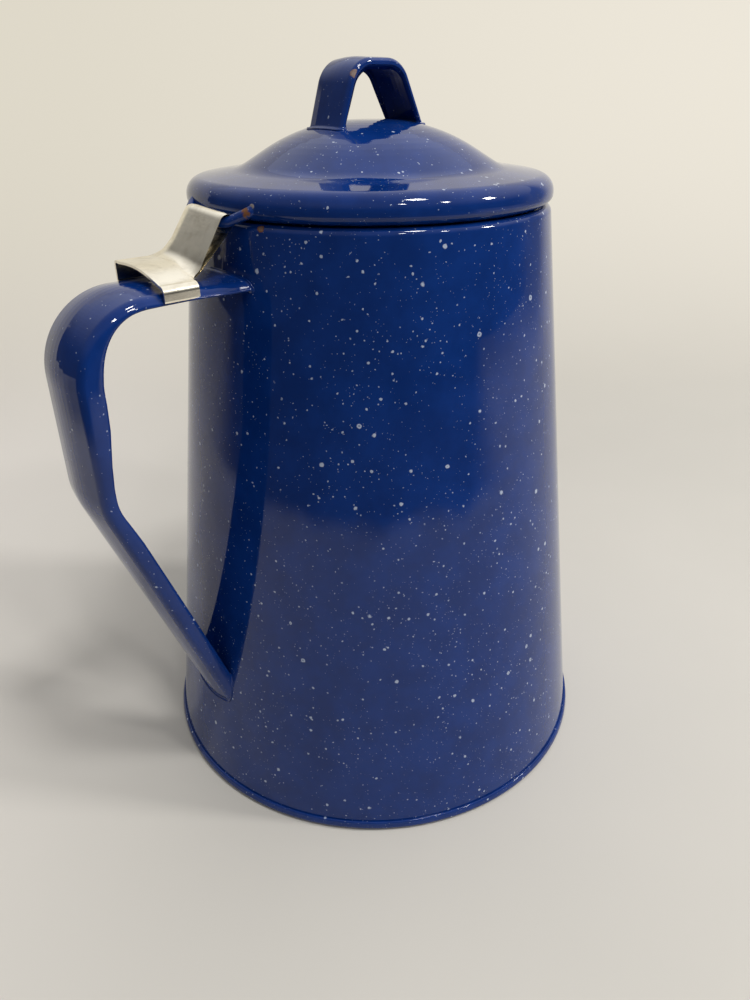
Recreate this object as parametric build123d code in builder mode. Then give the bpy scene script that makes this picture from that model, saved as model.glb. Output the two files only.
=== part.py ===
from build123d import *
from math import asin, atan2, cos, degrees, hypot, pi, sqrt, tan
import os

# Enamelled camp coffee percolator: a conical pot with a strap handle and a short spout,
# a lid that hinges on a wire in a spring clip, and a lift-out pump that carries the basket.
# Millimetres, +Z up. The origin is the centre of the foot on the table, the handle
# points to -X and the spout to +X.

os.makedirs("parts", exist_ok=True)

# Sheets and fits
SHELL_SHEET = 1.0  # enamelled steel of the pot, spout and lid
STRAP_SHEET = 1.2  # enamelled steel of the handle
KNOB_SHEET = 1.1  # enamelled steel of the lid knob
CLIP_SHEET = 0.6  # bare spring steel of the hinge clip
SPUN_SHEET = 0.8  # aluminium of the pump foot, basket and spreader
SEAM_FIT = 0.05  # between pieces that are seamed, clamped or welded together
RUNNING_GAP = 0.3  # between pieces that move past each other

# Pot
POT_HEIGHT = 170.9
RIM_RADIUS = 49.8
BEAD_RADIUS = 72.5
BEAD_HEIGHT = 3.1
BEAD_FOLD = 1.0
FLOOR_RECESS = 3.5
FLOOR_INSET = 4.5
FLOOR_CORNER = 1.2
RIM_CURL = 1.4
RIM_CURL_WIDTH = 3.0
RIM_LIP = 2.5

# Spout and the strainer holes behind it
SPOUT_REACH = 15.0
SPOUT_HALF_WIDTH = 19.0
SPOUT_NOSE = 5.0
SPOUT_TIP_DROP = 2.9
SPOUT_LIP_RISE = 5.0
SPOUT_LENGTH = 76.0
SPOUT_FOOT_REACH = 2.0
SPOUT_FOOT_HALF_WIDTH = 3.5
SPOUT_FOOT_NOSE = 1.5
STRAINER_HOLE = 3.0
STRAINER_PITCH = 6.0
STRAINER_ROWS = 5
STRAINER_DROP = 18.0

# Handle
STRAP_DROP = 11.9
STRAP_REACH = 45.4
STRAP_KNEE_DROP = 50.6
STRAP_FOOT_HEIGHT = 31.0
STRAP_HALF_WIDTH = 11.5
STRAP_DEPTH = 4.6
STRAP_CROWN = 1.7
STRAP_CORNER = 1.6
STRAP_BEND = 20.0
STRAP_KNEE_BEND = 22.0
STRAP_ROOT = 1.0
ROUND_SHARE = 0.55  # how much of a crowned back is round, from its middle to its corner

# Lid
LID_OVERHANG = 0.3
DOME_RISE = 11.3
CROWN_RADIUS = 16.5
CROWN_SHARE = 0.83  # how much of the flat crown its bend takes
VALLEY_INSET = 14.5
VALLEY_BEND = 12.0
SHOULDER_DROP = 2.1
SHOULDER_SHARE = 0.85  # how much of the brim's face its upper bend takes
BRIM_FACE = 4.7
BRIM_RISE = 1.1
BRIM_EDGE_SHARE = 0.3  # how much of the brim's face its lower bend takes
LAND_BEND = 1.5
PLUG_CLEARANCE = 0.7
PLUG_DEPTH = 8.0
PLUG_BEND = 1.2

# Lid knob, a strap bent into a loop
KNOB_HALF_WIDTH = 6.8
KNOB_RISE = 14.5
KNOB_ROOT = 4.0
KNOB_HANDLE_FOOT = 16.7
KNOB_HANDLE_SHOULDER = 10.8
KNOB_SPOUT_SHOULDER = 6.3
KNOB_SPOUT_FOOT = 15.7
KNOB_HANDLE_BEND = 8.5
KNOB_SPOUT_BEND = 8.0
KNOB_DEPTH = 1.9
KNOB_CROWN = 0.6
KNOB_CORNER = 0.8

# Hinge wire and the clip that holds it
HINGE_OVERHANG = 2.8
WIRE_DIAMETER = 2.4
WIRE_HALF_SPAN = 9.6
WIRE_BEND = 2.2
WIRE_LEG_REACH = 5.3
WIRE_LEG_RISE = 2.1
CLIP_HALF_WIDTH = 5.5
CLAMP_SETBACK = 10.2
CLAMP_LENGTH = 9.0
CLAMP_HEM = 1.6
CLAMP_CROWN = 1.8
CLAMP_CORNER = 1.2
CLAMP_LIFT = 0.6
HEM_BEND = 0.5
TONGUE_RUN = 2.2
TONGUE_ROOT = 1.0
TONGUE_BEND = 3.5
TAIL_RUN = 1.2
TAIL_LENGTH = 5.0
TAIL_BEND = 5.0

# Pump
TUBE_DIAMETER = 10.0
TUBE_WALL = 0.7
TUBE_PROUD = 1.1
PUMP_FOOT_RADIUS = 32.0
PUMP_FLANGE = 5.0
PUMP_FOOT_RISE = 14.0
PUMP_FOOT_BEND = 4.0
PUMP_COLLAR = 8.0
INLET_COUNT = 4
INLET_WIDTH = 7.0
STOP_RING_WALL = 3.0
STOP_RING_HEIGHT = 3.0

# Basket and spreader
BASKET_DROP = 26.9
BASKET_CLEARANCE = 7.5
BASKET_HEIGHT = 48.0
BASKET_CORNER = 4.0
BASKET_LIP = 1.8
BASKET_LIP_BEND = 0.6
BASKET_HOLE = 2.2
BASKET_PITCH = 5.5
SLEEVE_WALL = 0.8
SLEEVE_TOP_GAP = 4.0
SPREADER_SKIRT = 4.0
SPREADER_BEND = 0.6
DISH_INSET = 12.0
DISH_DEPTH = 2.5
DISH_WALL = 3.0
DISH_BEND = 1.5
SPREADER_COLLAR = 3.0
SPREADER_HOLE = 1.8
SPREADER_PITCH = 5.0

# Places that follow from the sizes above
FLOOR_TOP = FLOOR_RECESS + SHELL_SHEET
FLOOR_RADIUS = BEAD_RADIUS - FLOOR_INSET
FOOT_WALL_RADIUS = BEAD_RADIUS - SHELL_SHEET - SEAM_FIT
WALL_FOOT = SHELL_SHEET / 2 + BEAD_FOLD
CURL_RADIUS = RIM_RADIUS - (SHELL_SHEET + RIM_CURL_WIDTH) / 2
MOUTH_RADIUS = RIM_RADIUS - RIM_CURL_WIDTH - SHELL_SHEET
SPOUT_TIP_HEIGHT = POT_HEIGHT - SPOUT_TIP_DROP
SPOUT_FOOT_HEIGHT = SPOUT_TIP_HEIGHT - SPOUT_LENGTH
STRAINER_TOP = SPOUT_TIP_HEIGHT - STRAINER_DROP
STRAP_TOP = POT_HEIGHT - STRAP_DROP
STRAP_KNEE_HEIGHT = STRAP_TOP - STRAP_KNEE_DROP
STRAP_BACK = RIM_RADIUS + STRAP_REACH
PLUG_RADIUS = MOUTH_RADIUS - PLUG_CLEARANCE
LID_RADIUS = RIM_RADIUS + LID_OVERHANG
VALLEY_RADIUS = LID_RADIUS - VALLEY_INSET
LAND_HEIGHT = POT_HEIGHT + RUNNING_GAP
BRIM_HEIGHT = LAND_HEIGHT + BRIM_RISE
VALLEY_HEIGHT = BRIM_HEIGHT + BRIM_FACE + SHOULDER_DROP + SHELL_SHEET
LID_TOP = VALLEY_HEIGHT + DOME_RISE
CROWN_SLOPE = atan2(DOME_RISE, VALLEY_RADIUS - CROWN_RADIUS)
KNOB_TOP = LID_TOP + KNOB_RISE
WIRE_RADIUS = WIRE_DIAMETER / 2
HINGE_RADIUS = RIM_RADIUS + HINGE_OVERHANG
HINGE_HEIGHT = BRIM_HEIGHT - WIRE_RADIUS
CLAMP_INNER_END = HINGE_RADIUS + CLAMP_SETBACK
ROLL_RADIUS = WIRE_RADIUS + RUNNING_GAP + CLIP_SHEET / 2
TAIL_HEIGHT = STRAP_TOP + SEAM_FIT + CLIP_SHEET / 2
CLAMP_HEIGHT = TAIL_HEIGHT + CLIP_SHEET / 2 + CLAMP_LIFT + CLIP_SHEET
TUBE_RADIUS = TUBE_DIAMETER / 2
TUBE_BORE = TUBE_RADIUS - TUBE_WALL
TUBE_FOOT = FLOOR_TOP + PUMP_FOOT_RISE
TUBE_TOP = POT_HEIGHT + TUBE_PROUD
BASKET_TOP = POT_HEIGHT - BASKET_DROP
BASKET_FLOOR = BASKET_TOP - BASKET_HEIGHT
BASKET_RADIUS = MOUTH_RADIUS - BASKET_CLEARANCE
BASKET_RIM = BASKET_RADIUS + BASKET_LIP
SLEEVE_BORE = TUBE_RADIUS + RUNNING_GAP
SLEEVE_RADIUS = SLEEVE_BORE + SLEEVE_WALL
SPREADER_RADIUS = BASKET_RIM + SEAM_FIT + RUNNING_GAP + SPUN_SHEET
DISH_RADIUS = BASKET_RADIUS - DISH_INSET


def wall_radius(height):
    """Outer radius of the conical wall at a height."""
    return FOOT_WALL_RADIUS + (RIM_RADIUS - FOOT_WALL_RADIUS) * height / POT_HEIGHT


def sheet(points, bends, thickness):
    """Draw the cross-section of a bent sheet about its middle line."""
    with BuildLine() as middle:
        FilletPolyline(*points, radius=bends)
    trace(middle.line, line_width=thickness)


def crowned_channel(half_width, depth, crown, corner, thickness, hem=0):
    """Draw a channel that opens downwards, with the ridge of its back at the origin."""
    side = half_width - thickness / 2
    slope = atan2(crown, side)
    back_bend = ROUND_SHARE * side / tan(slope)
    apex = back_bend * (1 / cos(slope) - 1) - thickness / 2
    half = [(side, -depth), (side, apex - crown)]
    bends = [corner]
    if hem:
        half.insert(0, (side - hem, -depth))
        bends.insert(0, HEM_BEND)
    mirrored = [(-x, y) for x, y in reversed(half)]
    sheet(half + [(0, apex)] + mirrored, bends + [back_bend] + bends[::-1], thickness)


def touching_slope(start, centre, radius, side):
    """Angle of the line from start that touches a circle on its left (+1) or right (-1)."""
    across, up = centre[0] - start[0], centre[1] - start[1]
    return atan2(up, across) + side * asin(radius / hypot(across, up))


def hole_rings(first, last, pitch, hole):
    """Draw rings of holes about the axis, about one pitch apart both ways."""
    for ring in range(int((last - first) / pitch) + 1):
        radius = first + ring * pitch
        with PolarLocations(radius, int(2 * pi * radius / pitch)):
            Circle(hole / 2)


def finish(builder, name):
    """Label a finished piece and write its file."""
    builder.part.label = name
    export_step(builder.part, f"parts/{name}.step")


# Solid cone inside the pot's outer surface, which trims what is welded to the wall
with BuildPart() as pot_form:
    with BuildSketch(Plane.XZ):
        with BuildLine():
            Polyline(
                (0, 0),
                (wall_radius(0) + SEAM_FIT, 0),
                (wall_radius(POT_HEIGHT) + SEAM_FIT, POT_HEIGHT),
                (0, POT_HEIGHT),
                close=True,
            )
        make_face()
    revolve(axis=Axis.Z)

# Solid inside the lid's outer surface, which trims what is welded to the lid
lid_points = [
    (0, LID_TOP - SHELL_SHEET / 2),
    (CROWN_RADIUS, LID_TOP - SHELL_SHEET / 2),
    (VALLEY_RADIUS, VALLEY_HEIGHT - SHELL_SHEET / 2),
    (LID_RADIUS - SHELL_SHEET / 2, VALLEY_HEIGHT - SHOULDER_DROP - SHELL_SHEET / 2),
    (LID_RADIUS - SHELL_SHEET / 2, BRIM_HEIGHT + SHELL_SHEET / 2),
    (CURL_RADIUS, LAND_HEIGHT + SHELL_SHEET / 2),
    (PLUG_RADIUS - SHELL_SHEET / 2, LAND_HEIGHT + SHELL_SHEET / 2),
    (PLUG_RADIUS - SHELL_SHEET / 2, LAND_HEIGHT - PLUG_DEPTH),
]
lid_bends = [
    CROWN_RADIUS * CROWN_SHARE / tan(CROWN_SLOPE / 2),
    VALLEY_BEND,
    BRIM_FACE * SHOULDER_SHARE,
    BRIM_FACE * BRIM_EDGE_SHARE,
    LAND_BEND,
    PLUG_BEND,
]
with BuildPart() as lid_form:
    with BuildSketch(Plane.XZ):
        with BuildLine():
            middle = FilletPolyline(*lid_points, radius=lid_bends)
            Polyline(middle @ 1, (0, LAND_HEIGHT - PLUG_DEPTH), middle @ 0)
        make_face()
        sheet(lid_points, lid_bends, SHELL_SHEET + 2 * SEAM_FIT)
    revolve(axis=Axis.Z)

# Conical wall: it stands in the bottom's upturned rim and is curled in at the mouth
wall_inset = SHELL_SHEET / 2
with BuildPart() as body_shell:
    with BuildSketch(Plane.XZ):
        sheet(
            [
                (wall_radius(WALL_FOOT) - wall_inset, WALL_FOOT),
                (RIM_RADIUS - wall_inset, POT_HEIGHT - wall_inset),
                (RIM_RADIUS - wall_inset - RIM_CURL_WIDTH, POT_HEIGHT - wall_inset),
                (RIM_RADIUS - wall_inset - RIM_CURL_WIDTH, POT_HEIGHT - RIM_LIP),
            ],
            [RIM_CURL, RIM_CURL],
            SHELL_SHEET,
        )
    revolve(axis=Axis.Z)
    # Strainer holes behind the spout, one fewer in each lower row
    with BuildSketch(Plane.YZ):
        for row in range(STRAINER_ROWS):
            holes = STRAINER_ROWS - row
            row_height = STRAINER_TOP - row * STRAINER_PITCH
            with Locations((0, row_height)):
                with GridLocations(STRAINER_PITCH, STRAINER_PITCH, holes, 1):
                    Circle(STRAINER_HOLE / 2)
    extrude(amount=BEAD_RADIUS, mode=Mode.SUBTRACT)
finish(body_shell, "body_shell")

# Bottom: a recessed floor whose edge turns up around the foot of the wall and leans with it
with BuildPart() as base_plate:
    with BuildSketch(Plane.XZ):
        bead_outset = SEAM_FIT + SHELL_SHEET / 2
        sheet(
            [
                (0, FLOOR_TOP - SHELL_SHEET / 2),
                (FLOOR_RADIUS, FLOOR_TOP - SHELL_SHEET / 2),
                (FLOOR_RADIUS, SHELL_SHEET / 2),
                (wall_radius(SHELL_SHEET / 2) + bead_outset, SHELL_SHEET / 2),
                (wall_radius(BEAD_HEIGHT) + bead_outset, BEAD_HEIGHT),
            ],
            [FLOOR_CORNER, BEAD_FOLD, BEAD_FOLD],
            SHELL_SHEET,
        )
    revolve(axis=Axis.Z)
finish(base_plate, "base_plate")


def spout_section(height, reach, half_width, nose, inset):
    """The rounded V of the spout across one height, set in from its outer surface."""
    wall = wall_radius(height)
    tip = wall + reach
    foot = sqrt(wall**2 - half_width**2)
    back = foot - SHELL_SHEET
    back_width = half_width * (tip - back) / (tip - foot)
    slope = hypot(tip - foot, half_width) / half_width
    with BuildSketch(Plane.XY.offset(height)) as section:
        with BuildLine():
            Polyline(
                (back, back_width - inset),
                (tip - inset * slope, 0),
                (back, inset - back_width),
                close=True,
            )
        make_face()
        fillet(section.vertices().sort_by(Axis.X)[-1], nose - inset)
    return section.sketch


# Spout: a short V-shaped trough on the wall, open at the top and rising to its tip
with BuildPart() as spout:
    for inset, loft_mode in ((0, Mode.ADD), (SHELL_SHEET, Mode.SUBTRACT)):
        low = spout_section(
            SPOUT_FOOT_HEIGHT + 2 * inset,
            SPOUT_FOOT_REACH,
            SPOUT_FOOT_HALF_WIDTH,
            SPOUT_FOOT_NOSE,
            inset,
        )
        high = spout_section(
            SPOUT_TIP_HEIGHT, SPOUT_REACH, SPOUT_HALF_WIDTH, SPOUT_NOSE, inset
        )
        loft([low, high], ruled=True, mode=loft_mode)
    lip_end = wall_radius(SPOUT_TIP_HEIGHT) + SPOUT_REACH
    with BuildSketch(Plane.XZ):
        with BuildLine():
            Polyline(
                (0, SPOUT_TIP_HEIGHT - SPOUT_LIP_RISE),
                (wall_radius(SPOUT_TIP_HEIGHT), SPOUT_TIP_HEIGHT - SPOUT_LIP_RISE),
                (lip_end, SPOUT_TIP_HEIGHT),
                (0, SPOUT_TIP_HEIGHT),
                close=True,
            )
        make_face()
    extrude(amount=SPOUT_HALF_WIDTH, both=True, mode=Mode.SUBTRACT)
    add(pot_form.part, mode=Mode.SUBTRACT)
finish(spout, "spout")

# Handle: a channel strap that leaves the wall level, drops and slants back to the wall
with BuildPart() as handle_strap:
    with BuildLine(Plane.XZ) as strap_path:
        FilletPolyline(
            (STRAP_ROOT - wall_radius(STRAP_TOP), STRAP_TOP),
            (-STRAP_BACK, STRAP_TOP),
            (-STRAP_BACK, STRAP_KNEE_HEIGHT),
            (STRAP_ROOT - wall_radius(STRAP_FOOT_HEIGHT), STRAP_FOOT_HEIGHT),
            radius=[STRAP_BEND, STRAP_KNEE_BEND],
        )
    strap_wire = strap_path.wires()[0]
    with BuildSketch(Plane(strap_wire @ 0, x_dir=(0, -1, 0), z_dir=strap_wire % 0)):
        crowned_channel(STRAP_HALF_WIDTH, STRAP_DEPTH, STRAP_CROWN, STRAP_CORNER, STRAP_SHEET)
    sweep(path=strap_wire)
    add(pot_form.part, mode=Mode.SUBTRACT)
finish(handle_strap, "handle_strap")

# Hinge clip: a clamp around the handle and a tongue that rolls over the hinge wire and
# comes back under the clamp
hinge_centre = (-HINGE_RADIUS, HINGE_HEIGHT)
clamp_middle = CLAMP_HEIGHT - CLIP_SHEET / 2
tongue_foot = (TONGUE_RUN - CLAMP_INNER_END, clamp_middle)
tail_foot = (TAIL_RUN - CLAMP_INNER_END, TAIL_HEIGHT)
tongue_slope = touching_slope(tongue_foot, hinge_centre, ROLL_RADIUS, 1)
tail_slope = touching_slope(tail_foot, hinge_centre, ROLL_RADIUS, -1)
roll_start = degrees(tongue_slope + pi / 2)
roll_end = degrees(tail_slope - pi / 2)
with BuildPart() as hinge_clip:
    with BuildLine() as roll:
        CenterArc(hinge_centre, ROLL_RADIUS, roll_start, roll_end - roll_start)
    with BuildSketch(Plane.XZ.offset(-CLIP_HALF_WIDTH)):
        trace(roll.line, line_width=CLIP_SHEET)
        sheet(
            [(-CLAMP_INNER_END - TONGUE_ROOT, clamp_middle), tongue_foot, roll.line @ 0],
            [TONGUE_BEND],
            CLIP_SHEET,
        )
        sheet(
            [roll.line @ 1, tail_foot, (-CLAMP_INNER_END - TAIL_LENGTH, TAIL_HEIGHT)],
            [TAIL_BEND],
            CLIP_SHEET,
        )
    extrude(amount=2 * CLIP_HALF_WIDTH)
    clamp_back = Plane(
        (-CLAMP_INNER_END, 0, CLAMP_HEIGHT), x_dir=(0, -1, 0), z_dir=(-1, 0, 0)
    )
    with BuildSketch(clamp_back):
        crowned_channel(
            STRAP_HALF_WIDTH + SEAM_FIT + CLIP_SHEET,
            CLAMP_HEIGHT - STRAP_TOP + STRAP_DEPTH + SEAM_FIT + CLIP_SHEET / 2,
            CLAMP_CROWN,
            CLAMP_CORNER,
            CLIP_SHEET,
            CLAMP_HEM,
        )
    extrude(amount=CLAMP_LENGTH)
finish(hinge_clip, "hinge_clip")

# Lid: one pressing, with a shallow dome, a folded brim and a plug that drops in the mouth
with BuildPart() as lid_shell:
    with BuildSketch(Plane.XZ):
        sheet(lid_points, lid_bends, SHELL_SHEET)
    revolve(axis=Axis.Z)
finish(lid_shell, "lid_shell")

# Knob: a strap loop welded across the top of the lid
with BuildPart() as lid_knob:
    with BuildLine(Plane.XZ) as knob_path:
        FilletPolyline(
            (-KNOB_HANDLE_FOOT, LID_TOP - KNOB_ROOT),
            (-KNOB_HANDLE_SHOULDER, KNOB_TOP),
            (KNOB_SPOUT_SHOULDER, KNOB_TOP),
            (KNOB_SPOUT_FOOT, LID_TOP - KNOB_ROOT),
            radius=[KNOB_HANDLE_BEND, KNOB_SPOUT_BEND],
        )
    knob_wire = knob_path.wires()[0]
    with BuildSketch(Plane(knob_wire @ 0, x_dir=(0, 1, 0), z_dir=knob_wire % 0)):
        crowned_channel(KNOB_HALF_WIDTH, KNOB_DEPTH, KNOB_CROWN, KNOB_CORNER, KNOB_SHEET)
    sweep(path=knob_wire)
    add(lid_form.part, mode=Mode.SUBTRACT)
finish(lid_knob, "lid_knob")

# Hinge wire: a staple whose bar turns in the clip's roll and whose legs meet the brim
with BuildPart() as hinge_wire:
    leg_end = (WIRE_LEG_REACH - HINGE_RADIUS, HINGE_HEIGHT + WIRE_LEG_RISE)
    with BuildLine() as wire_path:
        FilletPolyline(
            (leg_end[0], -WIRE_HALF_SPAN, leg_end[1]),
            (-HINGE_RADIUS, -WIRE_HALF_SPAN, HINGE_HEIGHT),
            (-HINGE_RADIUS, WIRE_HALF_SPAN, HINGE_HEIGHT),
            (leg_end[0], WIRE_HALF_SPAN, leg_end[1]),
            radius=WIRE_BEND,
        )
    wire_line = wire_path.wires()[0]
    with BuildSketch(Plane(wire_line @ 0, z_dir=wire_line % 0)):
        Circle(WIRE_RADIUS)
    sweep(path=wire_line)
    add(lid_form.part, mode=Mode.SUBTRACT)
finish(hinge_wire, "hinge_wire")

# Pump foot: a flared bell on the floor, notched at its edge to let the water in
collar_middle = TUBE_RADIUS + SEAM_FIT + SPUN_SHEET / 2
with BuildPart() as pump_foot:
    with BuildSketch(Plane.XZ):
        sheet(
            [
                (collar_middle, TUBE_FOOT + PUMP_COLLAR),
                (collar_middle, TUBE_FOOT - SPUN_SHEET),
                (PUMP_FOOT_RADIUS - PUMP_FLANGE, FLOOR_TOP + SPUN_SHEET / 2),
                (PUMP_FOOT_RADIUS, FLOOR_TOP + SPUN_SHEET / 2),
            ],
            [PUMP_FOOT_BEND, PUMP_FOOT_BEND],
            SPUN_SHEET,
        )
    revolve(axis=Axis.Z)
    with BuildSketch(Plane.XY.offset(FLOOR_TOP)):
        with PolarLocations(PUMP_FOOT_RADIUS, INLET_COUNT, start_angle=180 / INLET_COUNT):
            Rectangle(2 * PUMP_FLANGE, INLET_WIDTH)
    extrude(amount=2 * SPUN_SHEET, mode=Mode.SUBTRACT)
finish(pump_foot, "pump_foot")

# Pump tube
with BuildPart() as pump_tube:
    with BuildSketch(Plane.XY.offset(TUBE_FOOT)):
        Circle(TUBE_RADIUS)
        Circle(TUBE_BORE, mode=Mode.SUBTRACT)
    extrude(amount=TUBE_TOP - TUBE_FOOT)
finish(pump_tube, "pump_tube")

# Ring pressed on the tube, which stops the basket
with BuildPart() as stop_ring:
    with BuildSketch(Plane.XY.offset(BASKET_FLOOR - STOP_RING_HEIGHT)):
        Circle(TUBE_RADIUS + STOP_RING_WALL)
        Circle(TUBE_RADIUS + SEAM_FIT, mode=Mode.SUBTRACT)
    extrude(amount=STOP_RING_HEIGHT)
    fillet(stop_ring.faces().sort_by(Axis.Z)[0].edges(), STOP_RING_WALL / 4)
finish(stop_ring, "stop_ring")

# Basket: a spun cup with a perforated floor and a turned-out lip
with BuildPart() as basket_bowl:
    with BuildSketch(Plane.XZ):
        sheet(
            [
                (SLEEVE_RADIUS + SEAM_FIT, BASKET_FLOOR + SPUN_SHEET / 2),
                (BASKET_RADIUS - SPUN_SHEET / 2, BASKET_FLOOR + SPUN_SHEET / 2),
                (BASKET_RADIUS - SPUN_SHEET / 2, BASKET_TOP - SPUN_SHEET / 2),
                (BASKET_RIM, BASKET_TOP - SPUN_SHEET / 2),
            ],
            [BASKET_CORNER, BASKET_LIP_BEND],
            SPUN_SHEET,
        )
    revolve(axis=Axis.Z)
    with BuildSketch(Plane.XY.offset(BASKET_FLOOR)):
        hole_rings(
            TUBE_RADIUS + STOP_RING_WALL + BASKET_PITCH / 2,
            BASKET_RADIUS - BASKET_CORNER - BASKET_HOLE,
            BASKET_PITCH,
            BASKET_HOLE,
        )
    extrude(amount=SPUN_SHEET, mode=Mode.SUBTRACT)
finish(basket_bowl, "basket_bowl")

# Sleeve through the basket, which slides on the tube
with BuildPart() as basket_sleeve:
    with BuildSketch(Plane.XY.offset(BASKET_FLOOR)):
        Circle(SLEEVE_RADIUS)
        Circle(SLEEVE_BORE, mode=Mode.SUBTRACT)
    extrude(amount=BASKET_HEIGHT - SLEEVE_TOP_GAP)
finish(basket_sleeve, "basket_sleeve")

# Spreader: a dished perforated cover that rests on the basket's lip
spreader_middle = BASKET_TOP + SPUN_SHEET / 2
spreader_collar = SLEEVE_BORE + SPUN_SHEET / 2
with BuildPart() as spreader:
    with BuildSketch(Plane.XZ):
        sheet(
            [
                (spreader_collar, spreader_middle + SPREADER_COLLAR),
                (spreader_collar, spreader_middle - DISH_DEPTH),
                (DISH_RADIUS, spreader_middle - DISH_DEPTH),
                (DISH_RADIUS + DISH_WALL, spreader_middle),
                (SPREADER_RADIUS - SPUN_SHEET / 2, spreader_middle),
                (SPREADER_RADIUS - SPUN_SHEET / 2, spreader_middle - SPREADER_SKIRT),
            ],
            [DISH_BEND, DISH_BEND, DISH_BEND, SPREADER_BEND],
            SPUN_SHEET,
        )
    revolve(axis=Axis.Z)
    with BuildSketch(Plane.XY.offset(spreader_middle - DISH_DEPTH - SPUN_SHEET)):
        hole_rings(
            SLEEVE_RADIUS + SPREADER_PITCH,
            DISH_RADIUS - SPREADER_PITCH / 2,
            SPREADER_PITCH,
            SPREADER_HOLE,
        )
    extrude(amount=DISH_DEPTH + 2 * SPUN_SHEET, mode=Mode.SUBTRACT)
finish(spreader, "spreader")
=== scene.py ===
from math import acos, asin, atan2, ceil, cos, degrees, hypot, pi, radians, sin, sqrt, tan, tau

import bmesh
import bpy
import numpy as np
from mathutils import Matrix, Vector


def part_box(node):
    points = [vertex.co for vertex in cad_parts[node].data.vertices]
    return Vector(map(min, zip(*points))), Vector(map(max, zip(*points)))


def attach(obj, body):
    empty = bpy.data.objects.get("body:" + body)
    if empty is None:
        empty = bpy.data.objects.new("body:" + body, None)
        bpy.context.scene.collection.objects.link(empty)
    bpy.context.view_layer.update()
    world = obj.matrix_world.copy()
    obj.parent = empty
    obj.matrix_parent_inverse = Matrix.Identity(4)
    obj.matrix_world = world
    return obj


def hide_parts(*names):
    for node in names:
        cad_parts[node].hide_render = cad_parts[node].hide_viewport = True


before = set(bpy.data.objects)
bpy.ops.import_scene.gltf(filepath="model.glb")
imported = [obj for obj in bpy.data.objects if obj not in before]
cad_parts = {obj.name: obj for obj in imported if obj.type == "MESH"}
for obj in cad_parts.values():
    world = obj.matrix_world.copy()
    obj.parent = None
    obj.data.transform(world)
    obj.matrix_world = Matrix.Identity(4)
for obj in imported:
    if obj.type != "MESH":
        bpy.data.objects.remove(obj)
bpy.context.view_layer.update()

# Enamelled camp coffee percolator. Lengths here are millimetres unless a comment says metres,
# and a mesh is scaled to metres when it is made. The origin is the centre of the foot, and +X
# points to the spout.
MM = 0.001


def low(node):
    """Lowest corner of a CAD node, in millimetres."""
    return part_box(node)[0] / MM


def high(node):
    """Highest corner of a CAD node, in millimetres."""
    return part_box(node)[1] / MM


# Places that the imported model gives
POT_HEIGHT = high("body_shell").z
WALL_FOOT, WALL_FOOT_RADIUS = low("body_shell").z, high("body_shell").x
FLOOR_TOP = high("base_plate").z
LID_RADIUS, LID_TOP = high("lid_shell").y, high("lid_shell").z
PLUG_BOTTOM = low("lid_shell").z
KNOB_HALF_WIDTH, KNOB_TOP = high("lid_knob").y, high("lid_knob").z
STRAP_BACK = -low("handle_strap").x
STRAP_HALF_WIDTH, STRAP_TOP = high("handle_strap").y, high("handle_strap").z
CLAMP_OUTER_END = low("hinge_clip").x
CLAMP_HALF_WIDTH = high("hinge_clip").y
SPOUT_END = high("spout").x
SPOUT_LOW, SPOUT_TIP = low("spout").z, high("spout").z
TUBE_FOOT, TUBE_TOP = low("pump_tube").z, high("pump_tube").z
TUBE_RADIUS = high("pump_tube").x
PUMP_FOOT_RADIUS, PUMP_COLLAR_TOP = high("pump_foot").x, high("pump_foot").z
STOP_RING_RADIUS = high("stop_ring").x
STOP_RING_LOW, STOP_RING_TOP = low("stop_ring").z, high("stop_ring").z
BASKET_RIM = high("basket_bowl").x
BASKET_FLOOR, BASKET_TOP = low("basket_bowl").z, high("basket_bowl").z
SLEEVE_RADIUS, SLEEVE_TOP = high("basket_sleeve").x, high("basket_sleeve").z
SPREADER_RADIUS, SPREADER_LOW = high("spreader").x, low("spreader").z

# Sheets and radii that it doesn't give
ENAMEL_SHEET = 1.0
STRAP_SHEET = 1.2
KNOB_SHEET = 1.1
CLIP_SHEET = 0.6
SPUN_SHEET = 0.8
TUBE_WALL = 0.7
SLEEVE_WALL = 0.8
SEAM_FIT = 0.05
RIM_RADIUS = LID_RADIUS - 0.3
WIRE_RADIUS = 1.2
HINGE = (low("hinge_wire").x + WIRE_RADIUS, low("hinge_wire").z + WIRE_RADIUS)


def wall_radius(height):
    """Outer radius of the conical wall at a height."""
    share = (height - WALL_FOOT) / (POT_HEIGHT - WALL_FOOT)
    return WALL_FOOT_RADIUS + (RIM_RADIUS - WALL_FOOT_RADIUS) * share


# ---------------------------------------------------------------- lines and outlines


def part_way(start, end, share):
    """The point a share of the way from start to end."""
    return tuple(a + (b - a) * share for a, b in zip(start, end))


def circle(radius, count, first=0.0):
    """Places spread evenly about the axis, the first at an angle."""
    angles = [first + tau * i / count for i in range(count)]
    return [(radius * cos(a), radius * sin(a)) for a in angles]


def rotated(arm, angle):
    """A vector in the plane, rotated by an angle."""
    return [
        arm[0] * cos(angle) - arm[1] * sin(angle),
        arm[0] * sin(angle) + arm[1] * cos(angle),
    ]


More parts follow.
